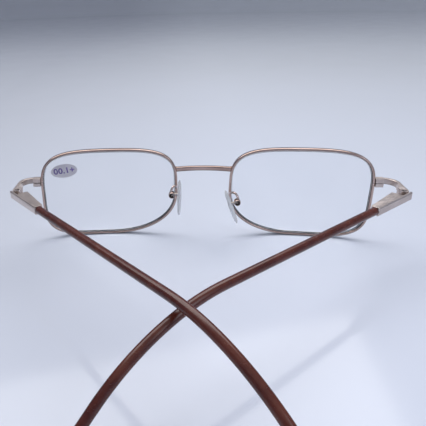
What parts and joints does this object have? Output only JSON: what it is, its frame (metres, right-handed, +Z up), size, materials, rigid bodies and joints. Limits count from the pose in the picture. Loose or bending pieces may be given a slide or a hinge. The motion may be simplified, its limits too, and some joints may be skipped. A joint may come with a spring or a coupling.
{
  "type": "folding reading glasses",
  "caption": "Full-rim metal reading glasses with spring-hinged folding temples, clear nose pads on wire arms and a power sticker on the lens.",
  "frame": {"origin": "under the middle of the bounding box, on the surface the glasses stand on", "axes": "+X towards the half that is on the right when seen from behind, +Y the way the wearer looks, +Z up"},
  "size_m": [0.1337, 0.1199, 0.0339],
  "materials": {
    "frame_metal": "satin rose-bronze plate",
    "core_wire": "drawn wire",
    "screws": "dark plate",
    "spring_steel": "bare spring steel",
    "sleeve": "polished dark brown",
    "lens": "clear, polished, coated",
    "pad": "clear soft silicone",
    "sticker": "thin grey translucent film"
  },
  "bodies": {
    "front": {"bridge": "frame_metal", "power_sticker": "sticker", "left_rim": "frame_metal", "right_rim": "frame_metal", "left_lens": "lens", "right_lens": "lens", "left_lock_upper": "frame_metal", "right_lock_upper": "frame_metal", "left_lock_lower": "frame_metal", "right_lock_lower": "frame_metal", "left_lock_screw": "screws", "right_lock_screw": "screws", "left_end_piece": "frame_metal", "right_end_piece": "frame_metal", "left_front_hinge": "frame_metal", "right_front_hinge": "frame_metal", "left_hinge_screw": "screws", "right_hinge_screw": "screws", "left_pad_arm": "frame_metal", "right_pad_arm": "frame_metal", "left_pad_box": "frame_metal", "right_pad_box": "frame_metal", "left_pad_pin": "screws", "right_pad_pin": "screws"},
    "left_hinge_tongue_body": {"left_hinge_tongue": "frame_metal", "left_rod_nut": "screws", "left_spring": "spring_steel"},
    "left_temple_body": {"left_spring_bush": "spring_steel", "left_spring_box": "frame_metal", "left_temple_core": "core_wire", "left_temple_sleeve": "sleeve"},
    "right_hinge_tongue_body": {"right_hinge_tongue": "frame_metal", "right_rod_nut": "screws", "right_spring": "spring_steel"},
    "right_temple_body": {"right_spring_bush": "spring_steel", "right_spring_box": "frame_metal", "right_temple_core": "core_wire", "right_temple_sleeve": "sleeve"},
    "left_pad_body": {"left_pad_stud": "screws", "left_pad": "pad"},
    "right_pad_body": {"right_pad_stud": "screws", "right_pad": "pad"}
  },
  "joints": [
    {"name": "left_fold", "type": "hinge", "parent": "front", "child": "left_hinge_tongue_body", "pos_m": [-0.0645, 0.04246, 0.02245], "axis": [-0.0419, 0.0244, 0.9988], "range_deg": [-40, 7]},
    {"name": "left_flex", "type": "slide", "parent": "left_hinge_tongue_body", "child": "left_temple_body", "axis": [0.6414, -0.7658, 0.0456], "range_m": [0, 0.001], "stiffness_N_per_m": 1800, "springref_m": -0.0008, "deforming": ["left_spring"]},
    {"name": "left_pad_rock", "type": "hinge", "parent": "front", "child": "left_pad_body", "pos_m": [-0.0113, 0.05176, 0.01855], "axis": [0, 1, 0], "range_deg": [-2, 21]},
    {"name": "right_fold", "type": "hinge", "parent": "front", "child": "right_hinge_tongue_body", "pos_m": [0.0645, 0.04246, 0.02245], "axis": [0.0087, -0.0244, -0.9997], "range_deg": [-48.5, 40]},
    {"name": "right_flex", "type": "slide", "parent": "right_hinge_tongue_body", "child": "right_temple_body", "axis": [-0.7491, -0.6624, 0.0097], "range_m": [0, 0.001], "stiffness_N_per_m": 1800, "springref_m": -0.0008, "deforming": ["right_spring"]},
    {"name": "right_pad_rock", "type": "hinge", "parent": "front", "child": "right_pad_body", "pos_m": [0.012, 0.05176, 0.01575], "axis": [0, -1, 0], "range_deg": [-16.5, 1.5]}
  ]
}
